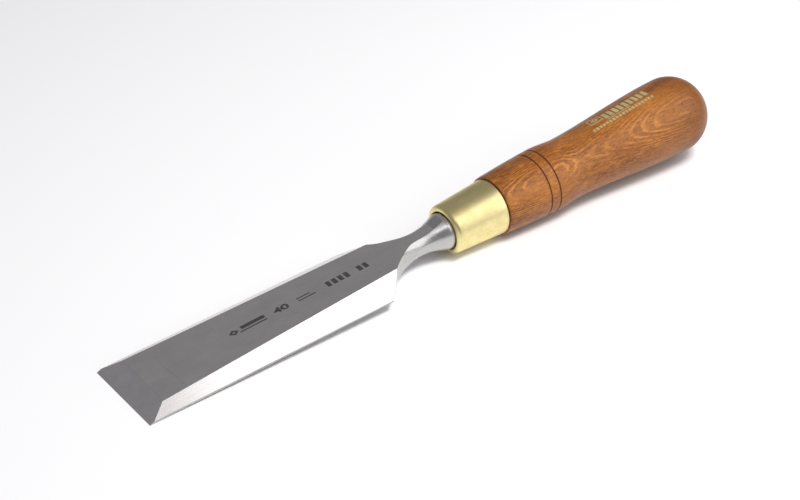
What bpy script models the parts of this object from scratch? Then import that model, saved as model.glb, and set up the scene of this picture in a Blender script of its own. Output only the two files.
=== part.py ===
"""Bevel-edge bench chisel: a forged blade, a brass ferrule and a turned wooden handle.

Metres, +Z up. The chisel lies as it rests on a bench: +X runs from the cutting edge to the butt
of the handle, the flat back of the blade faces down, and the origin is under the middle of it.
The blade's own frame has its origin in the middle of the cutting edge, on the flat back.
"""

import math

import bmesh
import bpy
from mathutils import Vector

# Blade: a bevel-edge blade whose back is the plane Z = 0 of its own frame.
BLADE_WIDTH = 0.040
CUTTING_BEVEL = math.radians(25.2)
SIDE_BEVEL = math.radians(35.8)
BACK_LENGTH = 0.1192            # cutting edge to the shoulder, along the back
TOP_HEIGHT = 0.00405            # the top face's plane, carried forward to the cutting edge
TOP_RISE = 0.0267               # the top face rises by this for each metre towards the handle
LAND_HEIGHT = 0.0010            # upright side of the blade, under the side bevel
LAND_FALL = 0.0017              # the side bevel comes down by this for each metre

# Neck and bolster, on an axis that leans a little away from the back.
AXIS_HEIGHT = 0.00203
AXIS_LEAN = math.radians(1.03)
NECK_START = 0.1425             # where the shoulder's hollow ends and the neck is narrowest
NECK_END = 0.1463               # where the neck starts to widen towards the bolster
NECK_RADIUS = 0.0054
NECK_SWEEP = 0.030              # radius of the hollow between the neck and the bolster
SHOULDER_SLOPE = math.radians(46)       # the shoulder's straight cut, against the blade's side
BOLSTER_RADIUS = 0.0085
BOLSTER_ROUNDING = 0.0005
BOLSTER_END = 0.1627
FLAT_DEPTH = 0.86               # the ground flat's height on the neck, as a part of its radius
FLAT_FADE = 0.965               # the same at the end of the bolster, where the flat has run out
FLAT_START = 0.1282             # where the blade's top face turns into the neck's flat
BACK_FLAT_END = 0.141           # where the flat back starts to round down under the neck
BACK_ROUNDING = 0.030
SQUARENESS_ABOVE = (5.0, 3.0)   # how much squarer than an oval the neck is where it starts
SQUARENESS_BELOW = 8.0

# Tang: a tapered square spike behind the bolster.
TANG_ROOT = 0.0040              # half its thickness
TANG_TIP = 0.0021
TANG_END = 0.2330
TANG_CORNERS = 8                # exponent of the section: a square with eased corners
SOCKET_LEAD = 0.001             # how far the cutter of the tang's hole starts before the tenon

# Ferrule: a drawn cup with a hole in its floor.
FERRULE_FRONT = 0.1617
FERRULE_REAR = 0.1885
FERRULE_WALL = 0.0010
FERRULE_MOUTH = 0.0088          # radius of the hole
FERRULE_FRONT_RADIUS = 0.0113
FERRULE_REAR_RADIUS = 0.0129
LIP_OUTSIDE = 0.0021            # radius of the rounding between the floor and the wall
LIP_INSIDE = 0.0006

# Handle: radii along the axis, from the front shoulder to the butt.
FIT_GAP = 0.0003                # clearance between neighbouring pieces
TENON_FRONT = 0.1632
SHOULDER_RADIUS = 0.0137
SHOULDER_ROUNDING = 0.0005
SHOULDER_SWELL = 0.45           # how much sooner the front swells than a straight taper
SHOULDER_STEPS = (0.0080, 0.0160)       # profile points between the shoulder and the grooves
COLLAR_AT, COLLAR_RADIUS = 0.2195, 0.0153
WAIST_AT, WAIST_RADIUS = 0.2320, 0.01445
BULGE_AT, BULGE_RADIUS = 0.2970, 0.0182
BULGE_FULLNESS = 0.85           # below 1, the handle swells early on its way to the bulge
BUTT_END = 0.3143
GROOVES = (0.2114, 0.2165)
GROOVE_WIDTH = 0.0008
GROOVE_DEPTH = 0.0005

SIDE_POINTS = 16                # points down each side of a blade section
TURNED_STEPS = 48


def blend(start, end, at):
    """0 before start, 1 after end, and a smooth rise between them."""
    part = min(max((at - start) / (end - start), 0.0), 1.0)
    return part * part * (3.0 - 2.0 * part)


def axis_height(x):
    return AXIS_HEIGHT + x * math.tan(AXIS_LEAN)


def hollow(away, radius):
    """How far a hollow arc has risen at a distance from the place where it starts."""
    away = min(max(away, 0.0), radius)
    return radius - math.sqrt(radius**2 - away**2)


def shoulder_half_width(x):
    """Seen from above: the blade's side, the straight cut, and a hollow that ends on the neck."""
    past = x - BACK_LENGTH
    if past <= 0.0:
        return BLADE_WIDTH / 2
    cut = BLADE_WIDTH / 2 - past * math.tan(SHOULDER_SLOPE)
    fall = (NECK_START - BACK_LENGTH) * math.tan(SHOULDER_SLOPE) + NECK_RADIUS - BLADE_WIDTH / 2
    cosine = math.cos(SHOULDER_SLOPE)
    radius = fall * cosine / (1.0 - cosine)
    if x < NECK_START - radius * math.sin(SHOULDER_SLOPE):
        return cut
    return NECK_RADIUS + hollow(NECK_START - x, radius)


def neck_radius(x):
    """Radius from the neck to the bolster, where the hollow rounds over into a short cylinder."""
    flare = NECK_RADIUS + hollow(x - NECK_END, NECK_SWEEP)
    over = flare - BOLSTER_RADIUS
    rounded = 0.5 * (flare + BOLSTER_RADIUS - math.sqrt(over**2 + BOLSTER_ROUNDING**2))
    return max(rounded, NECK_RADIUS)


def oval_half_width(half_width, half_height, exponent, up):
    """Half the width of a squared oval at a height above its centre."""
    part = min(abs(up) / half_height, 1.0)
    return half_width * (1.0 - part**exponent) ** (1.0 / exponent)


def side_fractions():
    """Shares of a section's height that fall evenly round a circle with a ground flat."""
    first = math.asin(FLAT_DEPTH)
    turn = (first + math.pi / 2) / SIDE_POINTS
    return [(FLAT_DEPTH - math.sin(first - turn * i)) / (FLAT_DEPTH + 1.0)
            for i in range(SIDE_POINTS + 1)]


def blade_side(x):
    """Points from the top corner down to the back, on the blade and its shoulder."""
    half_width = shoulder_half_width(x)
    top = min(x * math.tan(CUTTING_BEVEL), TOP_HEIGHT + TOP_RISE * x)
    slope = math.tan(SIDE_BEVEL)
    land = LAND_HEIGHT - LAND_FALL * x + (BLADE_WIDTH / 2 - half_width) * slope
    land = min(land, top)
    shares = side_fractions() if x > BACK_LENGTH else [0.0] * SIDE_POINTS + [1.0]
    wall = [(half_width, land * (1.0 - share)) for share in shares]
    return [(half_width - (top - land) / slope, top)] + wall


def neck_side(x):
    """Points from the flat's edge down to the underside, on the neck and the bolster."""
    radius = neck_radius(x)
    middle = axis_height(x)
    half_width = max(shoulder_half_width(x), radius)
    ground = TOP_HEIGHT + TOP_RISE * x
    depth = FLAT_DEPTH + (FLAT_FADE - FLAT_DEPTH) * blend(NECK_END, BOLSTER_END, x)
    top = ground + (middle + depth * radius - ground) * blend(FLAT_START, NECK_START, x)
    past = max(x - BACK_FLAT_END, 0.0)
    bottom = max(-past**2 / (2 * BACK_ROUNDING), middle - radius)
    squareness = max(NECK_END - x, 0.0) / (NECK_END - FLAT_START)
    along_neck, at_start = SQUARENESS_ABOVE
    upper = 2.0 + along_neck * squareness**2 + at_start * squareness**8
    lower = 2.0 + SQUARENESS_BELOW * squareness**2
    points = []
    for share in side_fractions():
        height = top + (bottom - top) * share
        exponent = upper if height > middle else lower
        points.append((oval_half_width(half_width, radius, exponent, height - middle), height))
    return points[:1] + points


def tang_side(x):
    """Points from the top corner down to the underside, on the tang."""
    middle = axis_height(x)
    part = (x - BOLSTER_END) / (TANG_END - BOLSTER_END)
    half = TANG_ROOT + (TANG_TIP - TANG_ROOT) * part
    points = []
    for share in side_fractions():
        up = half * (FLAT_DEPTH - (FLAT_DEPTH + 1.0) * share)
        points.append((oval_half_width(half, half, TANG_CORNERS, up), middle + up))
    return points[:1] + points


def steps(start, end, count):
    return [start + (end - start) * i / count for i in range(count + 1)]


def blade_rings():
    """Sections of the forging, from the cutting edge to the tip of the tang."""
    land_meets_bevel = LAND_HEIGHT / math.tan(CUTTING_BEVEL)
    bevel_end = TOP_HEIGHT / (math.tan(CUTTING_BEVEL) - TOP_RISE)
    blade = [0.0, land_meets_bevel, bevel_end] + steps(BACK_LENGTH, FLAT_START, 6)[:-1]
    neck = steps(FLAT_START, NECK_END, 16)[:-1] + steps(NECK_END, BOLSTER_END, 16)
    sides = [(x, blade_side(x)) for x in blade]
    sides += [(x, neck_side(x)) for x in neck]
    sides += [(x, tang_side(x)) for x in (BOLSTER_END, TANG_END)]
    rings = []
    for x, side in sides:
        right = [Vector((x, -y, z)) for y, z in side]
        left = [Vector((x, y, z)) for y, z in reversed(side)]
        rings.append(right + left)
    return rings


def loft(name, rings):
    """A closed skin over rings of points; points that fall together become one."""
    mesh = bpy.data.meshes.new(name)
    bm = bmesh.new()
    loops = [[bm.verts.new(point) for point in ring] for ring in rings]
    count = len(loops[0])
    for front, back in zip(loops, loops[1:]):
        for i in range(count):
            j = (i + 1) % count
            bm.faces.new((front[i], front[j], back[j], back[i]))
    bm.faces.new(loops[0])
    bm.faces.new(loops[-1])
    bmesh.ops.remove_doubles(bm, verts=bm.verts, dist=1e-6)
    bmesh.ops.dissolve_degenerate(bm, edges=bm.edges, dist=1e-6)
    bmesh.ops.recalc_face_normals(bm, faces=bm.faces)
    bm.to_mesh(mesh)
    bm.free()
    return mesh


def arc(centre, radius, start, end, count):
    """Points (along, radius) on an arc; angles in degrees from the +along direction."""
    along, out = centre
    angles = [math.radians(angle) for angle in steps(start, end, count)]
    return [(along + radius * math.cos(a), out + radius * math.sin(a)) for a in angles]


def handle_radius(along):
    """The turned outside, by its collar, its waist and its bulge."""
    if along < COLLAR_AT:
        part = (along - FERRULE_REAR) / (COLLAR_AT - FERRULE_REAR)
        swell = part * (1.0 + SHOULDER_SWELL * (1.0 - part))
        return SHOULDER_RADIUS + (COLLAR_RADIUS - SHOULDER_RADIUS) * swell
    if along < WAIST_AT:
        drop = COLLAR_RADIUS - WAIST_RADIUS
        return COLLAR_RADIUS - drop * blend(COLLAR_AT, WAIST_AT, along)
    if along < BULGE_AT:
        swelling = blend(WAIST_AT, BULGE_AT, along) ** BULGE_FULLNESS
        return WAIST_RADIUS + (BULGE_RADIUS - WAIST_RADIUS) * swelling
    part = (along - BULGE_AT) / (BUTT_END - BULGE_AT)
    return BULGE_RADIUS * math.sqrt(1.0 - part**2)


def handle_profile():
    """(along, radius) from the middle of the butt to the middle of the tenon's end."""
    butt = [BULGE_AT + (BUTT_END - BULGE_AT) * math.sin(math.radians(a))
            for a in steps(90.0, 0.0, 10)]
    points = [(along, handle_radius(along)) for along in butt]
    points[0] = (BUTT_END, 0.0)
    body = steps(BULGE_AT, WAIST_AT, 10)[1:] + steps(WAIST_AT, COLLAR_AT, 5)[1:]
    shoulder = FERRULE_REAR + FIT_GAP
    body += [shoulder + step for step in SHOULDER_STEPS]
    for groove in GROOVES:
        body = [along for along in body if abs(along - groove) > GROOVE_WIDTH]
        body += [groove - GROOVE_WIDTH / 2, groove + GROOVE_WIDTH / 2]
        points.append((groove, handle_radius(groove) - GROOVE_DEPTH))
    points += [(along, handle_radius(along)) for along in body]
    points.sort(reverse=True)
    corner = (shoulder + SHOULDER_ROUNDING, SHOULDER_RADIUS - SHOULDER_ROUNDING)
    points += arc(corner, SHOULDER_ROUNDING, 90.0, 180.0, 3)
    inside = FERRULE_WALL + FIT_GAP
    tenon_front = ferrule_radius(TENON_FRONT) - inside - LIP_OUTSIDE / 2
    points += [(shoulder, FERRULE_REAR_RADIUS - inside),
               (FERRULE_FRONT + LIP_OUTSIDE, ferrule_radius(FERRULE_FRONT + LIP_OUTSIDE) - inside),
               (TENON_FRONT, tenon_front),
               (TENON_FRONT, 0.0)]
    return points


def ferrule_radius(along):
    part = (along - FERRULE_FRONT) / (FERRULE_REAR - FERRULE_FRONT)
    return FERRULE_FRONT_RADIUS + (FERRULE_REAR_RADIUS - FERRULE_FRONT_RADIUS) * part


def ferrule_profile():
    """(along, radius) round the cup's wall, starting outside at the rear."""
    outside = steps(FERRULE_REAR, FERRULE_FRONT + LIP_OUTSIDE, 3)
    points = [(along, ferrule_radius(along)) for along in outside[:-1]]
    lip_radius = ferrule_radius(FERRULE_FRONT + LIP_OUTSIDE) - LIP_OUTSIDE
    points += arc((FERRULE_FRONT + LIP_OUTSIDE, lip_radius), LIP_OUTSIDE, 90.0, 180.0, 6)
    mouth = (FERRULE_FRONT + LIP_INSIDE, FERRULE_MOUTH + LIP_INSIDE)
    points += arc(mouth, LIP_INSIDE, 180.0, 270.0, 3)
    floor = FERRULE_FRONT + FERRULE_WALL
    corner = (FERRULE_FRONT + LIP_OUTSIDE, lip_radius)
    points += [(floor, FERRULE_MOUTH)]
    points += arc(corner, LIP_OUTSIDE - FERRULE_WALL, 180.0, 90.0, 3)
    points += [(FERRULE_REAR, FERRULE_REAR_RADIUS - FERRULE_WALL)]
    return points


def turned(name, profile, closed):
    """A turned piece: its profile, swept round the piece's own Z axis."""
    mesh = bpy.data.meshes.new(name)
    verts = [(radius, 0.0, along) for along, radius in profile]
    edges = [(i, i + 1) for i in range(len(verts) - 1)]
    if closed:
        edges.append((len(verts) - 1, 0))
    mesh.from_pydata(verts, edges, [])
    part = bpy.data.objects.new(name, mesh)
    screw = part.modifiers.new("Turning", "SCREW")
    screw.axis = "Z"
    screw.angle = math.tau
    screw.steps = TURNED_STEPS
    screw.render_steps = TURNED_STEPS
    screw.use_merge_vertices = True
    screw.merge_threshold = 1e-6
    screw.use_smooth_shade = True
    return part


def tang_socket():
    """The hole that the tang is driven into: a square taper with the fit gap all round."""
    length = TANG_END + 2 * FIT_GAP - TENON_FRONT
    taper = (TANG_ROOT - TANG_TIP) / (TANG_END - BOLSTER_END)
    tip = TANG_TIP + 2 * FIT_GAP
    root = tip + taper * (length + SOCKET_LEAD)
    mesh = bpy.data.meshes.new("tang_socket")
    bm = bmesh.new()
    bmesh.ops.create_cone(bm, cap_ends=True, segments=4, radius1=root * math.sqrt(2),
                          radius2=tip * math.sqrt(2), depth=length + SOCKET_LEAD)
    bm.to_mesh(mesh)
    bm.free()
    cutter = bpy.data.objects.new("tang_socket", mesh)
    cutter.location.z = TENON_FRONT + (length - SOCKET_LEAD) / 2
    cutter.rotation_euler.z = math.radians(45)
    cutter.hide_render = True
    cutter.display_type = "WIRE"
    return cutter


def finish(part, name, colour, metallic, roughness):
    material = bpy.data.materials.new(name)
    material.diffuse_color = (*colour, 1.0)
    material.use_nodes = True
    shader = material.node_tree.nodes["Principled BSDF"]
    shader.inputs["Base Color"].default_value = (*colour, 1.0)
    shader.inputs["Metallic"].default_value = metallic
    shader.inputs["Roughness"].default_value = roughness
    part.data.materials.append(material)


def rest_tilt():
    """The blade's back leans up by this when the edge and the handle touch the bench."""
    tilt = 0.0
    for along, radius in handle_profile():
        x = along * math.cos(AXIS_LEAN) + radius * math.sin(AXIS_LEAN)
        z = AXIS_HEIGHT + along * math.sin(AXIS_LEAN) - radius * math.cos(AXIS_LEAN)
        tilt = max(tilt, math.atan2(-z, x))
    return tilt


def put_origin_below(frame, parts):
    """Moves the frame so that the origin is under the middle of the parts."""
    bpy.context.view_layer.update()
    depsgraph = bpy.context.evaluated_depsgraph_get()
    points = []
    for part in parts:
        shape = part.evaluated_get(depsgraph)
        points += [shape.matrix_world @ vertex.co for vertex in shape.data.vertices]
    for axis in range(3):
        low = min(point[axis] for point in points)
        high = max(point[axis] for point in points)
        frame.location[axis] -= low if axis == 2 else (low + high) / 2


def build():
    for thing in list(bpy.data.objects):
        bpy.data.objects.remove(thing, do_unlink=True)
    chisel = bpy.data.collections.new("bench_chisel")
    cutters = bpy.data.collections.new("cutters")
    bpy.context.scene.collection.children.link(chisel)
    bpy.context.scene.collection.children.link(cutters)

    resting = bpy.data.objects.new("resting_on_bench", None)
    resting.rotation_euler.y = -rest_tilt()
    chisel.objects.link(resting)
    axis = bpy.data.objects.new("handle_axis", None)
    axis.parent = resting
    axis.location.z = AXIS_HEIGHT
    axis.rotation_euler.y = math.radians(90) - AXIS_LEAN
    chisel.objects.link(axis)

    blade = bpy.data.objects.new("blade", loft("blade", blade_rings()))
    blade.data.shade_smooth()
    blade.data.set_sharp_from_angle(angle=math.radians(20))
    blade.parent = resting
    finish(blade, "ground_steel", (0.36, 0.35, 0.34), 1.0, 0.32)

    ferrule = turned("ferrule", ferrule_profile(), closed=True)
    ferrule.parent = axis
    finish(ferrule, "satin_brass", (0.62, 0.53, 0.27), 1.0, 0.30)

    socket = tang_socket()
    socket.parent = axis
    cutters.objects.link(socket)
    handle = turned("handle", handle_profile(), closed=False)
    handle.parent = axis
    cut = handle.modifiers.new("Tang socket", "BOOLEAN")
    cut.object = socket
    cut.operation = "DIFFERENCE"
    finish(handle, "stained_hornbeam", (0.38, 0.13, 0.04), 0.0, 0.38)

    parts = (blade, ferrule, handle)
    for part in parts:
        chisel.objects.link(part)
    put_origin_below(resting, parts)


build()
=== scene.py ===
"""Bevel-edge bench chisel at rest on a bench: finished surfaces, marks, lights and camera.

Metres, +Z up. +X runs from the cutting edge to the butt of the handle, and the bench is Z = 0.
"""

import math

import bmesh
import bpy
from mathutils import Matrix, Vector


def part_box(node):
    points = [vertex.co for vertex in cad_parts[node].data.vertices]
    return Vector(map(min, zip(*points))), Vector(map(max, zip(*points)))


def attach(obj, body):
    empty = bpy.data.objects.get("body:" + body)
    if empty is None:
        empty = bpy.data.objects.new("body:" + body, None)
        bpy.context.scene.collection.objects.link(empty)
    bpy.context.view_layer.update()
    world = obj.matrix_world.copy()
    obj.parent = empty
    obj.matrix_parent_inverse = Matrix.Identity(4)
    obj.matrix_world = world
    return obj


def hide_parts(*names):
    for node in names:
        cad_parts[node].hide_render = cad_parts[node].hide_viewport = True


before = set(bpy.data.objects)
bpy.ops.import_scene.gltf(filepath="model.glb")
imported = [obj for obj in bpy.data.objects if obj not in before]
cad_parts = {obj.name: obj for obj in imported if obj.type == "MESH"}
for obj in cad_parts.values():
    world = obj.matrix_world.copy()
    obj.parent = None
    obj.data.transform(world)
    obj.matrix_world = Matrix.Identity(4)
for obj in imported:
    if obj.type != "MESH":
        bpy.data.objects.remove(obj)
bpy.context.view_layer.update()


# ---- Blade ----
# One steel forging: blade, shoulder, neck, bolster and the tang that the handle hides. The back,
# the top and the bevels are ground flat, the neck is polished round up to its ground flat, and
# every edge but the cutting edge is broken with a fine rounding.
BACK_TILT = math.radians(2.528)         # how far the back leans up from the bench
TOP_HEIGHT = 0.00405                    # the top face's plane, carried forward to the cutting edge
TOP_RISE = math.atan(0.0267)
SHOULDER_START = 0.1192
BACK_END = 0.1392                       # the lapped back runs on a little under the shoulder
NECK_START = 0.1282
BOLSTER_END = 0.1627
EDGE_ROUNDING = 0.00007
EDGE_SEGMENTS = 2
SHARP = math.radians(18)
MERGED = 1e-6                           # points nearer than this are one

cutting_edge = Vector((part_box("blade")[0].x, 0.0, 0.0))
blade_place = Matrix.Translation(cutting_edge) @ Matrix.Rotation(-BACK_TILT, 4, "Y")
top_place = blade_place @ Matrix.Translation((0.0, 0.0, TOP_HEIGHT))
top_place = top_place @ Matrix.Rotation(-TOP_RISE, 4, "Y")


def take_up(piece):
    """Makes this piece the only one selected, and the active one."""
    bpy.ops.object.select_all(action="DESELECT")
    piece.select_set(True)
    bpy.context.view_layer.objects.active = piece


def pick(piece, kind, wanted):
    """In edit mode, selects just the verts, edges or faces for which wanted(element) holds."""
    shape = bmesh.from_edit_mesh(piece.data)
    shape.select_mode = {{"verts": "VERT", "edges": "EDGE", "faces": "FACE"}[kind]}
    for element in getattr(shape, kind):
        element.select_set(bool(wanted(element)))
    shape.select_flush_mode()
    bmesh.update_edit_mesh(piece.data)


def new_finish(name, metallic, roughness):
    """A material with a Principled shader, and its node tree."""
    material = bpy.data.materials.new(name)
    material.use_nodes = True
    shader = material.node_tree.nodes["Principled BSDF"]
    shader.inputs["Metallic"].default_value = metallic
    shader.inputs["Roughness"].default_value = roughness
    return material, material.node_tree, shader


def node(tree, kind, *links, **values):
    """A node with settings and input values; links are (input, output socket) pairs."""
    made = tree.nodes.new("ShaderNode" + kind)
    for name, value in values.items():
        if name in made.inputs:
            made.inputs[name].default_value = value
        else:
            setattr(made, name, value)
    for socket, source in links:
        tree.links.new(source, made.inputs[socket])
    return made


def piece_points(tree, place, turn, scale):
    """Object coordinates, centred and turned to a piece, and stretched along its own axes."""
    points = node(tree, "TexCoord").outputs["Object"]
    local = node(tree, "Mapping", ("Vector", points), vector_type="TEXTURE",
                 Location=place, Rotation=turn)
    return node(tree, "Mapping", ("Vector", local.outputs["Vector"]), Scale=scale).outputs["Vector"]


def grain(tree, points, detail=2.0, roughness=0.5, distortion=0.0, seed=0.0):
    """Noise over points that are already stretched to the size of the grain."""
    made = node(tree, "TexNoise", ("Vector", points), noise_dimensions="4D", W=seed, Scale=1.0,
                Detail=detail, Roughness=roughness, Distortion=distortion)
    return made.outputs["Fac"]


def spread(tree, source, low, high, start=0.0, end=1.0):
    """Spreads the values between low and high over start to end."""
    made = node(tree, "MapRange", ("Value", source), clamp=True)
    for name, value in (("From Min", low), ("From Max", high), ("To Min", start), ("To Max", end)):
        made.inputs[name].default_value = value
    return made.outputs["Result"]


def tint(tree, share, first, second):
    """Mixes two colours, or a colour and a socket, by a share."""
    made = node(tree, "Mix", ("Factor", share), data_type="RGBA")
    for name, colour in ((6, first), (7, second)):
        if isinstance(colour, bpy.types.NodeSocket):
            tree.links.new(colour, made.inputs[name])
        else:
            made.inputs[name].default_value = (*colour, 1.0)
    return made.outputs[2]


def raise_surface(tree, shader, height, depth, strength):
    """Bumps the surface by a height pattern that is depth metres deep."""
    bump = node(tree, "Bump", ("Height", height), Strength=strength, Distance=depth)
    tree.links.new(bump.outputs["Normal"], shader.inputs["Normal"])


def ground_steel(name, light, dark, roughness, scratches, relief, seed):
    """Steel with the fine scratches of a grinding wheel; scratches are their counts per metre."""
    material, tree, shader = new_finish(name, 1.0, roughness)
    turn = (0.0, -BACK_TILT, 0.0)
    lines = grain(tree, piece_points(tree, cutting_edge, turn, scratches), 3.0, 0.6, 0.0, seed)
    cloud = grain(tree, piece_points(tree, cutting_edge, turn, (90.0, 160.0, 160.0)), 3.0, 0.6,
                  0.4, seed + 5.0)
    colour = tint(tree, spread(tree, cloud, 0.35, 0.65), dark, light)
    scored = [channel * 0.86 for channel in dark]
    colour = tint(tree, spread(tree, lines, 0.60, 0.78, 0.0, 0.5), colour, scored)
    tree.links.new(colour, shader.inputs["Base Color"])
    gloss = spread(tree, lines, 0.3, 0.7, roughness - 0.04, roughness + 0.05)
    tree.links.new(gloss, shader.inputs["Roughness"])
    raise_surface(tree, shader, lines, 0.00001, relief)
    return material


chisel_blade = bpy.data.objects.new("chisel_blade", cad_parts["blade"].data.copy())
bpy.context.scene.collection.objects.link(chisel_blade)
take_up(chisel_blade)
bpy.ops.mesh.customdata_custom_splitnormals_clear()
bpy.ops.object.mode_set(mode="EDIT")
bpy.ops.mesh.select_all(action="SELECT")
bpy.ops.mesh.remove_doubles(threshold=MERGED)
bpy.ops.mesh.tris_convert_to_quads(face_threshold=math.radians(25), shape_threshold=math.radians(60))
bpy.ops.mesh.dissolve_limited(angle_limit=math.radians(0.1))

to_blade = blade_place.inverted()
KEEN = 0.0002                           # edges this near the front are the cutting edge itself
HIDDEN_LIP = 0.0008                     # the ferrule hides this much of the bolster


def is_broken_edge(edge):
    """Edges that are rounded off: all the sharp ones between the cutting edge and the bolster."""
    if not edge.is_manifold or edge.calc_face_angle() < SHARP:
        return False
    ends = [to_blade @ vertex.co for vertex in edge.verts]
    on_cutting_edge = all(end.x < KEEN for end in ends)
    behind = any(end.x > BOLSTER_END - HIDDEN_LIP for end in ends)
    return not on_cutting_edge and not behind


pick(chisel_blade, "edges", is_broken_edge)
bpy.ops.mesh.bevel(offset=EDGE_ROUNDING, segments=EDGE_SEGMENTS, profile=0.5, clamp_overlap=True)
bpy.ops.object.mode_set(mode="OBJECT")
bpy.ops.object.shade_smooth_by_angle(angle=math.radians(28))
weighting = chisel_blade.modifiers.new("Flat faces", "WEIGHTED_NORMAL")
weighting.keep_sharp = True
bpy.ops.object.modifier_apply(modifier=weighting.name)

top_steel = ground_steel("ground_top", (0.71, 0.69, 0.67), (0.65, 0.63, 0.61), 0.30,
                         (60.0, 3500.0, 3500.0), 0.12, 1.0)
bevel_steel = ground_steel("honed_cutting_bevel", (0.70, 0.68, 0.69), (0.64, 0.62, 0.63), 0.28,
                           (3200.0, 60.0, 3200.0), 0.12, 2.0)
# Painted highlight: the side bevels are a lighter copy of the ground steel, to brighten their
# reflection of the softbox.
side_steel_painted_light = ground_steel("ground_side_bevel_painted_light", (0.78, 0.76, 0.75), (0.74, 0.71, 0.71), 0.27,
                          (60.0, 2500.0, 2500.0), 0.05, 3.0)
back_steel = ground_steel("lapped_back", (0.66, 0.65, 0.64), (0.60, 0.59, 0.58), 0.20,
                          (150.0, 3500.0, 3500.0), 0.12, 4.0)
# Painted shade: the lands are a darker copy of the ground steel, standing in for the shade under the
# lifted blade that they face.
land_steel_painted_shade = ground_steel("ground_edge_land_painted_shade", (0.52, 0.50, 0.49), (0.44, 0.42, 0.42), 0.32,
                          (150.0, 3500.0, 3500.0), 0.12, 5.0)
# Painted shade: the neck is a darker copy of the steel, standing in for the dim reflection on its
# lower side.
neck_steel_painted_shade = ground_steel("polished_neck_painted_shade", (0.54, 0.53, 0.52), (0.49, 0.48, 0.475), 0.29,
                          (500.0, 900.0, 900.0), 0.06, 6.0)
steels = [top_steel, bevel_steel, side_steel_painted_light, back_steel, land_steel_painted_shade, neck_steel_painted_shade]
TOP, FRONT_BEVEL, SIDE, BACK, LAND, NECK = range(len(steels))


def steel_of(face):
    """Which finish a face has, by its place and the way that it faces in the blade's frame."""
    along = (to_blade @ face.center).x
    normal = to_blade.to_3x3() @ face.normal
    faces_down = normal.z < -0.97
    faces_up = normal.z > 0.95 and abs(normal.y) < 0.12
    faces_sideways = abs(normal.y) > 0.90
    leans_forward = normal.x < -0.30 and abs(normal.y) < 0.30
    leans_sideways = abs(normal.y) > 0.25
    if faces_down and along < BACK_END:
        return BACK
    if along > NECK_START and not faces_up:
        return NECK
    if faces_sideways:
        return LAND if along < SHOULDER_START else NECK
    if leans_forward:
        return FRONT_BEVEL
    return SIDE if leans_sideways else TOP


# Two faint scores across the top: how far along, slant, middle across and reach to each side.
GRINDER_LINES = ((0.00945, 0.0, 0.0, 0.020), (0.02066, math.radians(4.5), -0.0042, 0.0095))
LINE_WIDTH = 0.00035
PAINTED_TIP_SHADE = (0.008, 0.040)              # the side bevels are painted darker towards the cutting edge: a painted dimmer reflection

tree = top_steel.node_tree
shader = tree.nodes["Principled BSDF"]
for along, slant, middle, reach in GRINDER_LINES:
    place = blade_place @ Vector((along, middle, 0.0))
    line_points = piece_points(tree, place, (0.0, -BACK_TILT, slant), (1.0, 1.0, 1.0))
    line_sides = node(tree, "SeparateXYZ", ("Vector", line_points))
    off_line = node(tree, "Math", (0, line_sides.outputs["X"]), operation="ABSOLUTE").outputs[0]
    off_middle = node(tree, "Math", (0, line_sides.outputs["Y"]), operation="ABSOLUTE").outputs[0]
    scored = node(tree, "Math", (0, spread(tree, off_line, 0.0, LINE_WIDTH, 0.22, 0.0)),
                  (1, spread(tree, off_middle, 0.9 * reach, reach, 1.0, 0.0)), operation="MULTIPLY")
    ground_colour = shader.inputs["Base Color"].links[0].from_socket
    colour = tint(tree, scored.outputs[0], ground_colour, (0.30, 0.29, 0.29))
    tree.links.new(colour, shader.inputs["Base Color"])

# Painted shade: the side bevels turn darker towards the cutting edge, standing in for their dimmer
# reflection there.
tree = side_steel_painted_light.node_tree
shader = tree.nodes["Principled BSDF"]
tip_points = piece_points(tree, cutting_edge, (0.0, -BACK_TILT, 0.0), (1.0, 1.0, 1.0))
along = node(tree, "SeparateXYZ", ("Vector", tip_points)).outputs["X"]
colour = tint(tree, spread(tree, along, *PAINTED_TIP_SHADE, 0.85, 0.0),
              shader.inputs["Base Color"].links[0].from_socket, (0.50, 0.475, 0.46))
tree.links.new(colour, shader.inputs["Base Color"])

chisel_blade.data.materials.clear()
for steel in steels:
    chisel_blade.data.materials.append(steel)
for face in chisel_blade.data.polygons:
    face.material_index = steel_of(face)
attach(chisel_blade, "root")
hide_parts("blade")


# ---- Etched marks on the blade ----
# The size number, with plain bars in the places of the other marks. They are etched black into
# the ground top, here as a film of oxide that stands a few hundredths of a millimetre proud.
MARK_BASE = -0.00001
MARK_FILM = 0.00002
MARK_HEIGHT = 0.0034
SIZE_NUMBER = (0.0726, 0.0799)
EMBLEM = (0.0505, 0.0684)
LOZENGE_REACH = 0.0024                  # from its middle to its points, along the blade
THICK_BAR_START, THICK_BAR_LOW = 0.0062, -0.0002
THIN_BAR_START, THIN_BAR_WIDTH = 0.0048, 0.0007
FINE_LINES = (0.0845, 0.0932)
FINE_LINE_WIDTH = 0.0006
BLOCKS = (0.0994, 0.1207)
BLOCK_PITCH, BLOCK_LENGTH = 0.0031, 0.0021
FRONT_BLOCKS, REAR_BLOCKS = 4, 2


def flat_mark(name, start, end, low, high):
    """A flat plate over a span along and across, drawn in the plane Z = 0."""
    bpy.ops.object.select_all(action="DESELECT")
    bpy.ops.mesh.primitive_plane_add(size=1.0)
    mark = bpy.context.object
    mark.name = name
    mark.scale = (end - start, high - low, 1.0)
    mark.location = ((start + end) / 2, (low + high) / 2, 0.0)
    bpy.ops.object.transform_apply(location=True, rotation=True, scale=True)
    return mark


def join_marks(marks, name):
    take_up(marks[0])
    for mark in marks:
        mark.select_set(True)
    bpy.ops.object.join()
    joined = bpy.context.object
    joined.name = name
    return joined


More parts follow.
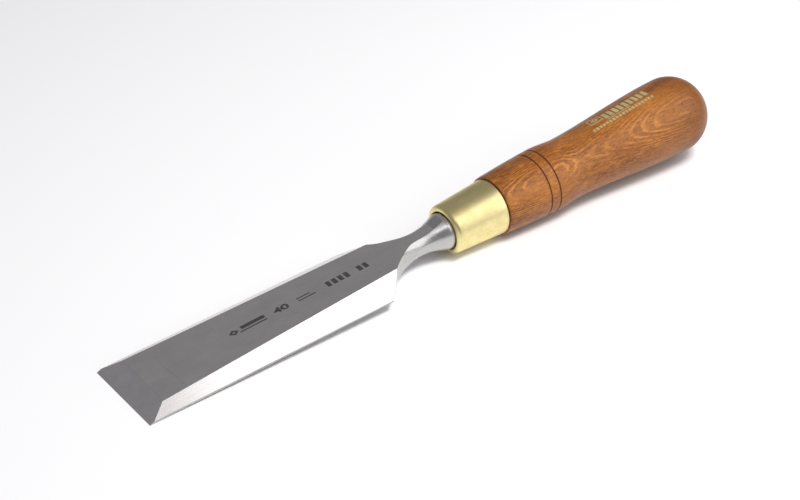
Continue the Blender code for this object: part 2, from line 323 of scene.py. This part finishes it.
def lozenge(name, middle, across, half_length, half_width, hollow):
    """A lozenge with a smaller one cut out of its middle; hollow is the hole's share of it."""
    bpy.ops.object.select_all(action="DESELECT")
    bpy.ops.mesh.primitive_circle_add(vertices=4, radius=1.0, fill_type="NGON")
    mark = bpy.context.object
    mark.name = name
    bpy.ops.object.mode_set(mode="EDIT")
    bpy.ops.mesh.select_all(action="SELECT")
    bpy.ops.mesh.inset(thickness=(1.0 - hollow) * math.sqrt(0.5))
    bpy.ops.mesh.delete(type="FACE")
    bpy.ops.object.mode_set(mode="OBJECT")
    mark.scale = (half_length, half_width, 1.0)
    mark.location = (middle, across, 0.0)
    bpy.ops.object.transform_apply(location=True, rotation=True, scale=True)
    return mark


def lay_on_blade(mark):
    """Gives a flat mark its thickness, and lays it on the blade's top face."""
    take_up(mark)
    film = mark.modifiers.new("Film", "SOLIDIFY")
    film.thickness = MARK_FILM
    film.offset = 1.0
    bpy.ops.object.modifier_apply(modifier=film.name)
    mark.matrix_world = top_place @ Matrix.Translation((0.0, 0.0, MARK_BASE))
    bpy.ops.object.transform_apply(location=True, rotation=True, scale=True)
    mark.data.materials.clear()
    mark.data.materials.append(oxide)
    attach(mark, "root")


oxide, tree, shader = new_finish("etched_oxide", 0.0, 0.55)
speckle = grain(tree, piece_points(tree, cutting_edge, (0.0, -BACK_TILT, 0.0), (2500.0,) * 3), 3.0)
colour = tint(tree, spread(tree, speckle, 0.35, 0.75), (0.014, 0.014, 0.015), (0.075, 0.073, 0.072))
tree.links.new(colour, shader.inputs["Base Color"])
raise_surface(tree, shader, speckle, 0.00001, 0.3)

bpy.ops.object.select_all(action="DESELECT")
bpy.ops.object.text_add()
size_mark = bpy.context.object
size_mark.name = "etched_size_number"
size_mark.data.body = "40"
size_mark.data.align_x = "LEFT"
size_mark.data.offset = 0.034
size_mark.data.resolution_u = 6
bpy.ops.object.convert(target="MESH")
low = Vector([min(vertex.co[axis] for vertex in size_mark.data.vertices) for axis in range(3)])
high = Vector([max(vertex.co[axis] for vertex in size_mark.data.vertices) for axis in range(3)])
wide = (SIZE_NUMBER[1] - SIZE_NUMBER[0]) / (high.x - low.x)
tall = MARK_HEIGHT / (high.y - low.y)
size_mark.scale = (wide, tall, 1.0)
size_mark.location = (SIZE_NUMBER[0] - low.x * wide, -MARK_HEIGHT / 2 - low.y * tall, 0.0)
bpy.ops.object.transform_apply(location=True, rotation=True, scale=True)
bpy.ops.object.mode_set(mode="EDIT")
bpy.ops.mesh.select_all(action="SELECT")
bpy.ops.mesh.remove_doubles(threshold=MERGED)
bpy.ops.object.mode_set(mode="OBJECT")
lay_on_blade(size_mark)

half = MARK_HEIGHT / 2
start, end = EMBLEM
emblem = join_marks([
    lozenge("lozenge", start + LOZENGE_REACH, 0.0, LOZENGE_REACH, half, 0.35),
    flat_mark("thick_bar", start + THICK_BAR_START, end, THICK_BAR_LOW, half),
    flat_mark("thin_bar", start + THIN_BAR_START, end, -half, -half + THIN_BAR_WIDTH)],
    "etched_emblem")
lay_on_blade(emblem)

start, end = FINE_LINES
fine_lines = join_marks([
    flat_mark("short_line", start, end - 0.0020, 0.0004, 0.0004 + FINE_LINE_WIDTH),
    flat_mark("long_line", start, end, -0.0012, -0.0012 + FINE_LINE_WIDTH)], "etched_fine_lines")
lay_on_blade(fine_lines)

start, end = BLOCKS
block_starts = [start + i * BLOCK_PITCH for i in range(FRONT_BLOCKS)]
block_starts += [end - i * BLOCK_PITCH - BLOCK_LENGTH for i in range(REAR_BLOCKS)]
blocks = [flat_mark("block", block_start, block_start + BLOCK_LENGTH, -half, half)
          for block_start in block_starts]
lay_on_blade(join_marks(blocks, "etched_blocks"))


# ---- Ferrule ----
# A cup drawn from brass sheet, with a hole in its floor for the bolster, satin polished on a
# lathe and pressed onto the handle's tenon. It stops the wood from splitting round the tang.
AXIS_RISE = BACK_TILT + math.radians(1.03)
AXIS_HEIGHT = 0.00203                   # the axis over the back, at the cutting edge
FERRULE_FRONT = 0.1617
FERRULE_REAR = 0.1885
FERRULE_WALL = 0.0010
FERRULE_MOUTH = 0.0088
FRONT_RADIUS = 0.0113
REAR_RADIUS = 0.0129
LIP_OUTSIDE = 0.0021
LIP_INSIDE = 0.0006
REAR_ROUNDING = 0.00025
TURNED_STEPS = 144
WALL_STEPS = 8

axis_place = blade_place @ Matrix.Translation((0.0, 0.0, AXIS_HEIGHT))
axis_start = axis_place.translation
axis_place = Matrix.Translation(axis_start) @ Matrix.Rotation(-AXIS_RISE, 4, "Y")


def arc(centre, radius, start, end, count):
    """Points (along, radius) on an arc; angles in degrees from the +along direction."""
    angles = [math.radians(start + (end - start) * i / count) for i in range(count + 1)]
    return [(centre[0] + radius * math.cos(a), centre[1] + radius * math.sin(a)) for a in angles]


def turn_piece(name, profile):
    """Draws a profile of (along, radius) points, spins it and lays it on the tool's axis."""
    bpy.ops.object.select_all(action="DESELECT")
    bpy.ops.mesh.primitive_plane_add(size=0.001)
    turned = bpy.context.object
    turned.name = name
    points = [Vector((along, 0.0, radius)) for along, radius in profile]
    bpy.ops.object.mode_set(mode="EDIT")
    bpy.ops.mesh.select_all(action="SELECT")
    bpy.ops.mesh.merge(type="CENTER")
    bpy.ops.transform.translate(value=points[0])
    for point, following in zip(points, points[1:]):
        bpy.ops.mesh.extrude_region_move(TRANSFORM_OT_translate={"value": following - point})
    bpy.ops.mesh.select_all(action="SELECT")
    bpy.ops.mesh.spin(steps=TURNED_STEPS, angle=math.tau, center=(0.0, 0.0, 0.0),
                      axis=(1.0, 0.0, 0.0))
    bpy.ops.mesh.select_all(action="SELECT")
    bpy.ops.mesh.remove_doubles(threshold=2e-6)
    bpy.ops.mesh.normals_make_consistent(inside=False)
    bpy.ops.object.mode_set(mode="OBJECT")
    turned.matrix_world = axis_place
    bpy.ops.object.transform_apply(location=True, rotation=True, scale=True)
    bpy.ops.object.shade_smooth_by_angle(angle=math.radians(32))
    return turned


def ferrule_radius(along):
    part = (along - FERRULE_FRONT) / (FERRULE_REAR - FERRULE_FRONT)
    return FRONT_RADIUS + (REAR_RADIUS - FRONT_RADIUS) * part


lip_corner = (FERRULE_FRONT + LIP_OUTSIDE, ferrule_radius(FERRULE_FRONT + LIP_OUTSIDE) - LIP_OUTSIDE)
rear_corner = (FERRULE_REAR - REAR_ROUNDING, ferrule_radius(FERRULE_REAR) - REAR_ROUNDING)
wall_points = [FERRULE_REAR + (FERRULE_FRONT + LIP_OUTSIDE - FERRULE_REAR) * i / WALL_STEPS
               for i in range(1, WALL_STEPS)]
cup = arc(rear_corner, REAR_ROUNDING, 0.0, 90.0, 4)
cup += [(along, ferrule_radius(along)) for along in wall_points]
cup += arc(lip_corner, LIP_OUTSIDE, 90.0, 180.0, 12)
cup += arc((FERRULE_FRONT + LIP_INSIDE, FERRULE_MOUTH + LIP_INSIDE), LIP_INSIDE, 180.0, 270.0, 6)
cup += [(FERRULE_FRONT + FERRULE_WALL, FERRULE_MOUTH)]
cup += arc(lip_corner, LIP_OUTSIDE - FERRULE_WALL, 180.0, 90.0, 5)
cup += [(FERRULE_REAR, REAR_RADIUS - FERRULE_WALL), cup[0]]
brass_ferrule = turn_piece("brass_ferrule", cup)

brass, tree, shader = new_finish("satin_brass", 1.0, 0.38)
turn = (0.0, -AXIS_RISE, 0.0)
rings = grain(tree, piece_points(tree, axis_start, turn, (5200.0, 60.0, 60.0)), 2.0, 0.6)
smear = grain(tree, piece_points(tree, axis_start, turn, (160.0, 240.0, 240.0)), 4.0, 0.6, 0.6)
pits = grain(tree, piece_points(tree, axis_start, turn, (1500.0, 1500.0, 1500.0)), 2.0, 0.6)
colour = tint(tree, spread(tree, smear, 0.35, 0.68), (0.90, 0.785, 0.40), (0.77, 0.660, 0.31))
colour = tint(tree, spread(tree, pits, 0.60, 0.74, 0.0, 0.50), colour, (0.50, 0.38, 0.14))
tree.links.new(colour, shader.inputs["Base Color"])
gloss = spread(tree, smear, 0.3, 0.7, 0.35, 0.42)
tree.links.new(gloss, shader.inputs["Roughness"])
raise_surface(tree, shader, rings, 0.00001, 0.15)
brass_ferrule.data.materials.append(brass)
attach(brass_ferrule, "root")
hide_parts("ferrule")


# ---- Handle ----
# Turned from one billet of hornbeam, stained brown and finished with a satin lacquer. The front
# is a tenon for the ferrule, two grooves are cut before the waist, and the tang is driven into a
# square hole up the middle. The growth rings lie nearly flat, so the swell cuts them into ovals.
FIT_GAP = 0.0003
TENON_FRONT = 0.1632
SHOULDER_RADIUS = 0.0137
SHOULDER_ROUNDING = 0.0005
SHOULDER_SWELL = 0.45                   # how much sooner the front swells than a straight taper
COLLAR_AT, COLLAR_RADIUS = 0.2195, 0.0153
WAIST_AT, WAIST_RADIUS = 0.2320, 0.01445
BULGE_AT = 0.2970
BULGE_RADIUS = (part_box("handle")[1].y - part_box("handle")[0].y) / 2
BULGE_FULLNESS = 0.85
BUTT_END = 0.3143
GROOVES = (0.2114, 0.2165)
GROOVE_WIDTH = 0.0008
GROOVE_DEPTH = 0.0005
TANG_ROOT, TANG_TIP, TANG_END = 0.0040, 0.0021, 0.2330
BODY_STEP = 0.0015
DOME_STEPS = 30
HOLE_LEAD = 0.001                       # the cutter for the tang's hole starts this far outside


def blend(start, end, at):
    """0 before start, 1 after end, and a smooth rise between them."""
    part = min(max((at - start) / (end - start), 0.0), 1.0)
    return part * part * (3.0 - 2.0 * part)


def handle_radius(along):
    """The turned outside, by its collar, its waist and its bulge, with the two grooves."""
    if along < COLLAR_AT:
        part = (along - FERRULE_REAR) / (COLLAR_AT - FERRULE_REAR)
        swell = part * (1.0 + SHOULDER_SWELL * (1.0 - part))
        radius = SHOULDER_RADIUS + (COLLAR_RADIUS - SHOULDER_RADIUS) * swell
    elif along < WAIST_AT:
        radius = COLLAR_RADIUS - (COLLAR_RADIUS - WAIST_RADIUS) * blend(COLLAR_AT, WAIST_AT, along)
    elif along < BULGE_AT:
        swell = blend(WAIST_AT, BULGE_AT, along) ** BULGE_FULLNESS
        radius = WAIST_RADIUS + (BULGE_RADIUS - WAIST_RADIUS) * swell
    else:
        part = (along - BULGE_AT) / (BUTT_END - BULGE_AT)
        radius = BULGE_RADIUS * math.sqrt(max(1.0 - part**2, 0.0))
    for groove in GROOVES:
        away = abs(along - groove) / (GROOVE_WIDTH / 2)
        radius -= GROOVE_DEPTH * max(1.0 - away, 0.0)
    return radius


front = FERRULE_REAR + FIT_GAP
inside = FERRULE_WALL + FIT_GAP
dome = [BULGE_AT + (BUTT_END - BULGE_AT) * math.cos(math.radians(90.0) * i / DOME_STEPS)
        for i in range(DOME_STEPS)]
count = round((BULGE_AT - front) / BODY_STEP)
body = [BULGE_AT + (front + SHOULDER_ROUNDING - BULGE_AT) * i / count for i in range(count)]
for groove in GROOVES:
    body = [along for along in body if abs(along - groove) > GROOVE_WIDTH]
    body += [groove + GROOVE_WIDTH * share for share in (-0.75, -0.5, -0.1, 0.1, 0.5, 0.75)]
body.sort(reverse=True)
outline = [(along, handle_radius(along)) for along in dome + body]
outline[0] = (BUTT_END, 0.0)
corner = (front + SHOULDER_ROUNDING, SHOULDER_RADIUS - SHOULDER_ROUNDING)
outline += arc(corner, SHOULDER_ROUNDING, 90.0, 180.0, 5)
outline += [(front, REAR_RADIUS - inside),
            (FERRULE_FRONT + LIP_OUTSIDE, ferrule_radius(FERRULE_FRONT + LIP_OUTSIDE) - inside),
            (TENON_FRONT, ferrule_radius(TENON_FRONT) - inside - LIP_OUTSIDE / 2),
            (TENON_FRONT, 0.0)]
wooden_handle = turn_piece("wooden_handle", outline)

hole_length = TANG_END + 2 * FIT_GAP - TENON_FRONT + HOLE_LEAD
hole_tip = TANG_TIP + 2 * FIT_GAP
hole_root = hole_tip + (TANG_ROOT - TANG_TIP) / (TANG_END - BOLSTER_END) * hole_length
bpy.ops.object.select_all(action="DESELECT")
bpy.ops.mesh.primitive_cone_add(vertices=4, radius1=hole_root * math.sqrt(2),
                                radius2=hole_tip * math.sqrt(2), depth=hole_length)
tang_hole = bpy.context.object
stand = Matrix.Translation((TENON_FRONT - HOLE_LEAD + hole_length / 2, 0.0, 0.0))
tang_hole.matrix_world = (axis_place @ stand @ Matrix.Rotation(math.radians(90), 4, "Y")
                          @ Matrix.Rotation(math.radians(45), 4, "Z"))
take_up(wooden_handle)
cut = wooden_handle.modifiers.new("Tang hole", "BOOLEAN")
cut.object = tang_hole
cut.operation = "DIFFERENCE"
bpy.ops.object.modifier_apply(modifier=cut.name)
bpy.data.objects.remove(tang_hole, do_unlink=True)

RING_ANGLE = math.radians(45)           # the rings face this far from the top, to the near side
RING_SPACING = 0.00057
PALE_RING = 0.01452                     # how far the middle of one pale ring is from the axis
RING_WANDER = 0.0007                    # how far slow waves and torn edges move the rings
RING_FRAY = 0.00040
STAIN_DARK = (0.095, 0.024, 0.005)
STAIN_MID = (0.172, 0.048, 0.008)
STAIN_LIGHT = (0.520, 0.200, 0.038)
PAINTED_LIT_SIDE = (0.0118, 0.0160)            # this far over the axis, towards the upper near side, the wood is painted paler: a painted sheen where the light falls
PAINTED_SHADED_SIDES = (0.0085, 0.0128)         # and below this it is painted darker: painted shade on the top and the sides turned from the light
END_GRAIN = (0.2750, 0.3020)            # where the swell's end grain begins to take more stain
GROOVE_DARKENING = 0.00055                  # the wood is darker up to this far from each groove's middle

stained_wood, tree, shader = new_finish("stained_hornbeam", 0.0, 0.38)
turn = (RING_ANGLE, -AXIS_RISE, 0.0)


def wood_grain(along, across, detail, roughness, seed):
    """Noise drawn out along the handle; along and across are its counts per metre."""
    points = piece_points(tree, axis_start, turn, (along, across, across))
    return grain(tree, points, detail, roughness, 0.0, seed)


local = piece_points(tree, axis_start, turn, (1.0, 1.0, 1.0))
sides = node(tree, "SeparateXYZ", ("Vector", local)).outputs
depth = sides["Z"]
for waves, reach in ((wood_grain(22.0, 60.0, 2.0, 0.5, 3.0), RING_WANDER),
                     (wood_grain(230.0, 500.0, 4.0, 0.7, 7.0), RING_FRAY)):
    depth = node(tree, "Math", (0, waves), (2, depth), operation="MULTIPLY_ADD").outputs[0]
    depth.node.inputs[1].default_value = reach
ring_depth = PALE_RING + (RING_WANDER + RING_FRAY) / 2
rings = node(tree, "TexWave", ("Vector", node(tree, "CombineXYZ", ("Z", depth)).outputs[0]),
             wave_type="BANDS", bands_direction="Z", wave_profile="SIN",
             Scale=math.tau / 20 / RING_SPACING, Distortion=0.0).outputs["Fac"]
rings.node.inputs["Phase Offset"].default_value = math.pi - math.tau * ring_depth / RING_SPACING
patches = wood_grain(45.0, 130.0, 3.0, 0.6, 4.0)
clouds = wood_grain(18.0, 70.0, 3.0, 0.6, 21.0)
streaks = wood_grain(150.0, 900.0, 4.0, 0.65, 5.0)
glints = wood_grain(480.0, 2600.0, 2.0, 0.5, 14.0)
fibres = wood_grain(330.0, 3600.0, 3.0, 0.6, 2.0)
flecks = wood_grain(620.0, 2700.0, 2.0, 0.5, 9.0)
shown = node(tree, "Math", (0, spread(tree, rings, 0.60, 1.0)),
             (1, spread(tree, patches, 0.43, 0.56, 0.10, 1.0)), operation="MULTIPLY").outputs[0]
colour = tint(tree, spread(tree, clouds, 0.42, 0.60, 0.0, 0.45), STAIN_MID, STAIN_LIGHT)
# Painted light: paler where the handle faces the key lamp, darker on the top and the sides turned
# away from it.
colour = tint(tree, spread(tree, sides["Z"], *PAINTED_LIT_SIDE, 0.0, 0.26), colour, STAIN_LIGHT)
colour = tint(tree, spread(tree, sides["Z"], *PAINTED_SHADED_SIDES, 0.45, 0.0), colour, STAIN_DARK)
colour = tint(tree, shown, colour, STAIN_LIGHT)
colour = tint(tree, spread(tree, streaks, 0.48, 0.66, 0.0, 0.5), colour, STAIN_LIGHT)
colour = tint(tree, spread(tree, fibres, 0.48, 0.64, 0.0, 0.50), colour, STAIN_DARK)
colour = tint(tree, spread(tree, flecks, 0.55, 0.66, 0.0, 0.55), colour, STAIN_DARK)
colour = tint(tree, spread(tree, glints, 0.56, 0.67, 0.0, 0.60), colour, STAIN_LIGHT)
colour = tint(tree, spread(tree, sides["X"], *END_GRAIN, 0.0, 0.52), colour, STAIN_DARK)
# Darker in and beside each groove.
for groove in GROOVES:
    beside = node(tree, "Math", (0, sides["X"]), operation="SUBTRACT")
    beside.inputs[1].default_value = groove
    away = node(tree, "Math", (0, beside.outputs[0]), operation="ABSOLUTE").outputs[0]
    stained = spread(tree, away, 0.5 * GROOVE_DARKENING, GROOVE_DARKENING, 0.75, 0.0)
    colour = tint(tree, stained, colour, STAIN_DARK)
tree.links.new(colour, shader.inputs["Base Color"])
gloss = spread(tree, fibres, 0.3, 0.7, 0.34, 0.44)
tree.links.new(gloss, shader.inputs["Roughness"])
raise_surface(tree, shader, fibres, 0.00004, 0.12)
shader.inputs["Specular IOR Level"].default_value = 0.35
wooden_handle.data.materials.append(stained_wood)
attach(wooden_handle, "root")
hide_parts("handle")


# ---- Printed mark on the handle ----
# A plain stamp in pale gold ink, printed on the lacquer after turning: a frame with a lozenge, a
# row of bars, a rule and a line of dashes. The ink follows the turned surface.
PRINT_TURN = math.radians(-6)           # the stamp's middle, from the top of the handle
PRINT_FILM = 0.00003
PRINT_CELL = 0.0005
FRAME_PLACE = (0.2488, 0.2559, -0.0006, 0.0038)
BARS_PLACE = (0.2570, 0.2829, -0.0015, 0.0029)
RULE_PLACE = (0.2570, 0.2712, -0.0025, -0.0021)
DASHES_PLACE = (0.2468, 0.2836, -0.0046, -0.0032)
BAR_COUNT, BAR_SHARE = 9, 0.68
DASH_COUNT, DASH_SHARE = 19, 0.68
FRAME_LINE = 0.0005
STAMP_LOZENGE = (0.0022, 0.0013)


def row_of_marks(place, count, share):
    """Equal upright marks over a span; share is how much of each pitch a mark fills."""
    start, end, low, high = place
    pitch = (end - start) / (count - 1 + share)
    return [flat_mark("mark", start + i * pitch, start + (i + share) * pitch, low, high)
            for i in range(count)]


start, end, low_side, high_side = FRAME_PLACE
stamp_frame = flat_mark("stamp_frame", start, end, low_side, high_side)
bpy.ops.object.mode_set(mode="EDIT")
bpy.ops.mesh.select_all(action="SELECT")
bpy.ops.mesh.inset(thickness=FRAME_LINE)
bpy.ops.mesh.delete(type="FACE")
bpy.ops.object.mode_set(mode="OBJECT")
middle = ((start + end) / 2, (low_side + high_side) / 2)
marks = [stamp_frame, lozenge("stamp_lozenge", *middle, *STAMP_LOZENGE, 0.4)]
marks += row_of_marks(BARS_PLACE, BAR_COUNT, BAR_SHARE)
marks += [flat_mark("stamp_rule", *RULE_PLACE)]
marks += row_of_marks(DASHES_PLACE, DASH_COUNT, DASH_SHARE)
handle_stamp = join_marks(marks, "handle_stamp")
bpy.ops.object.mode_set(mode="EDIT")
for axis, normal in ((0, (1.0, 0.0, 0.0)), (1, (0.0, 1.0, 0.0))):
    low = min(DASHES_PLACE[0], FRAME_PLACE[0]) if axis == 0 else DASHES_PLACE[2]
    high = max(DASHES_PLACE[1], BARS_PLACE[1]) if axis == 0 else FRAME_PLACE[3]
    for i in range(1, int((high - low) / PRINT_CELL)):
        place = [0.0, 0.0, 0.0]
        place[axis] = low + i * PRINT_CELL
        bpy.ops.mesh.select_all(action="SELECT")
        bpy.ops.mesh.bisect(plane_co=place, plane_no=normal)
bpy.ops.object.mode_set(mode="OBJECT")
over_handle = axis_place @ Matrix.Rotation(PRINT_TURN, 4, "X")
handle_stamp.matrix_world = over_handle @ Matrix.Translation((0.0, 0.0, 2 * BULGE_RADIUS))
take_up(handle_stamp)
wrap = handle_stamp.modifiers.new("Wrap", "SHRINKWRAP")
wrap.target = wooden_handle
wrap.wrap_method = "PROJECT"
wrap.use_project_z = True
wrap.use_positive_direction = False
wrap.use_negative_direction = True
bpy.ops.object.modifier_apply(modifier=wrap.name)
ink_film = handle_stamp.modifiers.new("Ink", "SOLIDIFY")
ink_film.thickness = 2 * PRINT_FILM
ink_film.offset = 0.0
bpy.ops.object.modifier_apply(modifier=ink_film.name)
bpy.ops.object.transform_apply(location=True, rotation=True, scale=True)

gold_ink, tree, shader = new_finish("pale_gold_ink", 0.0, 0.42)
rubbed = wood_grain(700.0, 2200.0, 3.0, 0.6, 11.0)
blotches = wood_grain(250.0, 250.0, 3.0, 0.6, 12.0)
colour = tint(tree, spread(tree, blotches, 0.35, 0.65), (0.410, 0.355, 0.175), (0.330, 0.280, 0.130))
colour = tint(tree, spread(tree, rubbed, 0.56, 0.70, 0.0, 0.6), colour, STAIN_MID)
tree.links.new(colour, shader.inputs["Base Color"])
raise_surface(tree, shader, rubbed, 0.00001, 0.2)
handle_stamp.data.materials.clear()
handle_stamp.data.materials.append(gold_ink)
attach(handle_stamp, "root")


# ---- Bench top ----
# A plain pale board that the tool lies on, far wider than the view.
BENCH_SIZE = 6.0
BENCH_HEIGHT = -0.00003
BENCH_COLOUR = (0.87, 0.87, 0.87)

bpy.ops.object.select_all(action="DESELECT")
bpy.ops.mesh.primitive_plane_add(size=BENCH_SIZE, location=(0.0, 0.0, BENCH_HEIGHT))
bench_top = bpy.context.object
bench_top.name = "bench_top"
pale_board, tree, shader = new_finish("pale_board", 0.0, 0.6)
shader.inputs["Base Color"].default_value = (*BENCH_COLOUR, 1.0)
bench_top.data.materials.append(pale_board)


# ---- Light and camera ----
# A softbox to the right of the camera, one over the front, and a small strong key lamp high on the
# near side, in a dim room. The key lamp is left out of reflections.
ROOM_COLOUR = (0.29, 0.285, 0.30)
BOX_DISTANCE, KEY_DISTANCE = 1.3, 1.2
VIEW_AZIMUTH = math.radians(-38.46)
VIEW_ELEVATION = math.radians(35.95)
VIEW_ROLL = math.radians(0.89)
VIEW_DISTANCE = 0.8062
VIEW_TARGET = Vector((-0.01557, 0.00447, 0.008))
LENS = 84.5


def softbox(name, direction, distance, width, height, radiance, in_gloss):
    """A rectangular area light that faces the tool; in_gloss says if reflections show it."""
    light = bpy.data.lights.new(name, "AREA")
    light.shape = "RECTANGLE"
    light.size = width
    light.size_y = height
    light.energy = radiance * math.pi * width * height
    lamp = bpy.data.objects.new(name, light)
    bpy.context.scene.collection.objects.link(lamp)
    towards = Vector(direction).normalized()
    lamp.location = towards * distance
    lamp.rotation_euler = towards.to_track_quat("Z", "Y").to_euler()
    lamp.visible_glossy = in_gloss


softbox("softbox_right", (0.60, -0.60, 0.62), BOX_DISTANCE, 1.1, 1.4, 1.6, True)
softbox("softbox_front", (-0.15, -0.45, 0.88), BOX_DISTANCE, 0.5, 0.45, 2.1, True)
softbox("key_lamp", (0.15, -0.36, 0.93), KEY_DISTANCE, 0.33, 0.33, 32.0, False)

room = bpy.data.worlds.new("dim_room")
room.use_nodes = True
room.node_tree.nodes["Background"].inputs["Color"].default_value = (*ROOM_COLOUR, 1.0)
bpy.context.scene.world = room

back = Vector((math.sin(VIEW_AZIMUTH) * math.cos(VIEW_ELEVATION),
               -math.cos(VIEW_AZIMUTH) * math.cos(VIEW_ELEVATION),
               math.sin(VIEW_ELEVATION)))
camera = bpy.data.objects.new("camera", bpy.data.cameras.new("camera"))
bpy.context.scene.collection.objects.link(camera)
camera.data.lens = LENS
camera.data.clip_start = 0.01
camera.location = VIEW_TARGET + back * VIEW_DISTANCE
straight = (-back).to_track_quat("-Z", "Y").to_matrix()
camera.rotation_euler = (straight @ Matrix.Rotation(VIEW_ROLL, 3, "Z")).to_euler()
bpy.context.scene.camera = camera
bpy.context.scene.view_settings.view_transform = "Standard"
